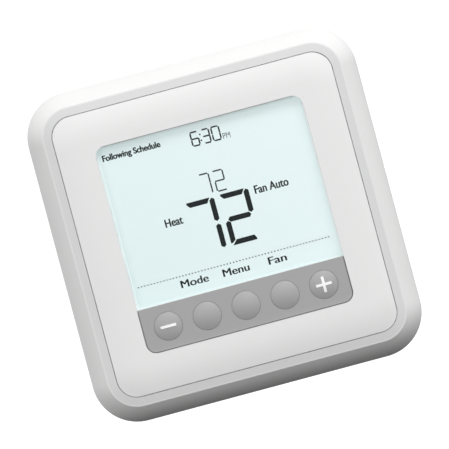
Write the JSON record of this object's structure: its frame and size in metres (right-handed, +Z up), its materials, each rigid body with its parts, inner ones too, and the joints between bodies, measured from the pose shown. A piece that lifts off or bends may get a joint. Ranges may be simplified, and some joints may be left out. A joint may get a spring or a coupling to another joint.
{
  "type": "wall thermostat",
  "caption": "Square wall thermostat with a rounded skirt, a pillowed front, a lit display, domed keys and a clip-on wall plate with a wiring door.",
  "frame": {"origin": "on the back of the wall plate, where it meets the wall, behind the middle of the square front", "axes": "+X to the right as seen by a person facing the front, +Z up, +Y into the wall, so the front looks along -Y"},
  "size_m": [0.104, 0.027, 0.104],
  "materials": {
    "white_shell": "fine matte grain",
    "white_panel": "smooth satin",
    "clear_lens": "clear, polished",
    "grey_keypad": "smooth satin",
    "mark_white": "smooth",
    "display_glass": "polished",
    "light_guide": "translucent",
    "frame_plastic": "moulded",
    "black_rubber": "matte",
    "board_green": "lacquered board",
    "black_plastic": "moulded",
    "relay_case": "moulded",
    "can_aluminium": "brushed can",
    "steel": "zinc plated",
    "spring_steel": "nickel plated",
    "brass": "tin and gold flash",
    "cell_jacket": "plain printed film",
    "tab_grey": "moulded"
  },
  "bodies": {
    "wall_plate": {"wall_plate_base": "white_shell", "door_hinge_pin": "steel", "terminal_block_left": "black_plastic", "terminal_block_right": "black_plastic", "terminal_contacts_left": "brass", "terminal_contacts_right": "brass"},
    "wiring_door": {"wiring_door": "white_shell"},
    "power_link": {"power_link_slider": "tab_grey"},
    "thermostat": {"front_housing": "white_shell", "front_panel": "white_panel", "display_lens": "clear_lens", "keypad_fascia": "grey_keypad", "display_frame": "frame_plastic", "display_glass": "display_glass", "backlight_panel": "light_guide", "display_connector": "black_rubber", "main_circuit_board": "board_green", "tact_switches": "black_plastic", "relays": "relay_case", "microcontroller": "black_plastic", "capacitors": "can_aluminium", "temperature_sensor": "black_plastic", "board_screws": "steel", "rear_case": "white_shell", "case_screws": "steel", "battery_upper": "cell_jacket", "battery_lower": "cell_jacket", "battery_contact_plates": "spring_steel", "battery_springs": "spring_steel", "pin_header_left": "black_plastic", "pin_header_right": "black_plastic", "header_pins_left": "brass", "header_pins_right": "brass"},
    "key_minus": {"button_minus": "grey_keypad", "switch_plunger_minus": "black_plastic", "minus_mark": "mark_white"},
    "key_left": {"button_left": "grey_keypad", "switch_plunger_left": "black_plastic"},
    "key_middle": {"button_middle": "grey_keypad", "switch_plunger_middle": "black_plastic"},
    "key_right": {"button_right": "grey_keypad", "switch_plunger_right": "black_plastic"},
    "key_plus": {"button_plus": "grey_keypad", "switch_plunger_plus": "black_plastic", "plus_mark": "mark_white"},
    "tab_left_1": {"push_tab_left_1": "tab_grey"},
    "tab_left_2": {"push_tab_left_2": "tab_grey"},
    "tab_left_3": {"push_tab_left_3": "tab_grey"},
    "tab_left_4": {"push_tab_left_4": "tab_grey"},
    "tab_left_5": {"push_tab_left_5": "tab_grey"},
    "tab_right_1": {"push_tab_right_1": "tab_grey"},
    "tab_right_2": {"push_tab_right_2": "tab_grey"},
    "tab_right_3": {"push_tab_right_3": "tab_grey"},
    "tab_right_4": {"push_tab_right_4": "tab_grey"},
    "tab_right_5": {"push_tab_right_5": "tab_grey"}
  },
  "joints": [
    {"name": "thermostat_pull", "type": "slide", "parent": "wall_plate", "child": "thermostat", "axis": [0, -1, 0], "range_m": [0, 0.1]},
    {"name": "door_hinge", "type": "hinge", "parent": "wall_plate", "child": "wiring_door", "pos_m": [0, -0.0076, -0.041], "axis": [1, 0, 0], "range_deg": [0, 95]},
    {"name": "power_link_slide", "type": "slide", "parent": "wall_plate", "child": "power_link", "axis": [1, 0, 0], "range_m": [0, 0.004]},
    {"name": "press_minus", "type": "slide", "parent": "thermostat", "child": "key_minus", "axis": [0, 1, 0], "range_m": [0, 0.0006], "stiffness_N_per_m": 1500, "springref_m": -0.0006},
    {"name": "press_left", "type": "slide", "parent": "thermostat", "child": "key_left", "axis": [0, 1, 0], "range_m": [0, 0.0006], "stiffness_N_per_m": 1500, "springref_m": -0.0006},
    {"name": "press_middle", "type": "slide", "parent": "thermostat", "child": "key_middle", "axis": [0, 1, 0], "range_m": [0, 0.0006], "stiffness_N_per_m": 1500, "springref_m": -0.0006},
    {"name": "press_right", "type": "slide", "parent": "thermostat", "child": "key_right", "axis": [0, 1, 0], "range_m": [0, 0.0006], "stiffness_N_per_m": 1500, "springref_m": -0.0006},
    {"name": "press_plus", "type": "slide", "parent": "thermostat", "child": "key_plus", "axis": [0, 1, 0], "range_m": [0, 0.0006], "stiffness_N_per_m": 1500, "springref_m": -0.0006},
    {"name": "push_left_1", "type": "slide", "parent": "wall_plate", "child": "tab_left_1", "axis": [0, 1, 0], "range_m": [0, 0.001], "stiffness_N_per_m": 900, "springref_m": -0.001},
    {"name": "push_left_2", "type": "slide", "parent": "wall_plate", "child": "tab_left_2", "axis": [0, 1, 0], "range_m": [0, 0.001], "stiffness_N_per_m": 900, "springref_m": -0.001},
    {"name": "push_left_3", "type": "slide", "parent": "wall_plate", "child": "tab_left_3", "axis": [0, 1, 0], "range_m": [0, 0.001], "stiffness_N_per_m": 900, "springref_m": -0.001},
    {"name": "push_left_4", "type": "slide", "parent": "wall_plate", "child": "tab_left_4", "axis": [0, 1, 0], "range_m": [0, 0.001], "stiffness_N_per_m": 900, "springref_m": -0.001},
    {"name": "push_left_5", "type": "slide", "parent": "wall_plate", "child": "tab_left_5", "axis": [0, 1, 0], "range_m": [0, 0.001], "stiffness_N_per_m": 900, "springref_m": -0.001},
    {"name": "push_right_1", "type": "slide", "parent": "wall_plate", "child": "tab_right_1", "axis": [0, 1, 0], "range_m": [0, 0.001], "stiffness_N_per_m": 900, "springref_m": -0.001},
    {"name": "push_right_2", "type": "slide", "parent": "wall_plate", "child": "tab_right_2", "axis": [0, 1, 0], "range_m": [0, 0.001], "stiffness_N_per_m": 900, "springref_m": -0.001},
    {"name": "push_right_3", "type": "slide", "parent": "wall_plate", "child": "tab_right_3", "axis": [0, 1, 0], "range_m": [0, 0.001], "stiffness_N_per_m": 900, "springref_m": -0.001},
    {"name": "push_right_4", "type": "slide", "parent": "wall_plate", "child": "tab_right_4", "axis": [0, 1, 0], "range_m": [0, 0.001], "stiffness_N_per_m": 900, "springref_m": -0.001},
    {"name": "push_right_5", "type": "slide", "parent": "wall_plate", "child": "tab_right_5", "axis": [0, 1, 0], "range_m": [0, 0.001], "stiffness_N_per_m": 900, "springref_m": -0.001}
  ],
  "couplings": [
    {"joint": "door_hinge", "follows": "thermostat_pull", "rad_per_m": 16.579}
  ]
}
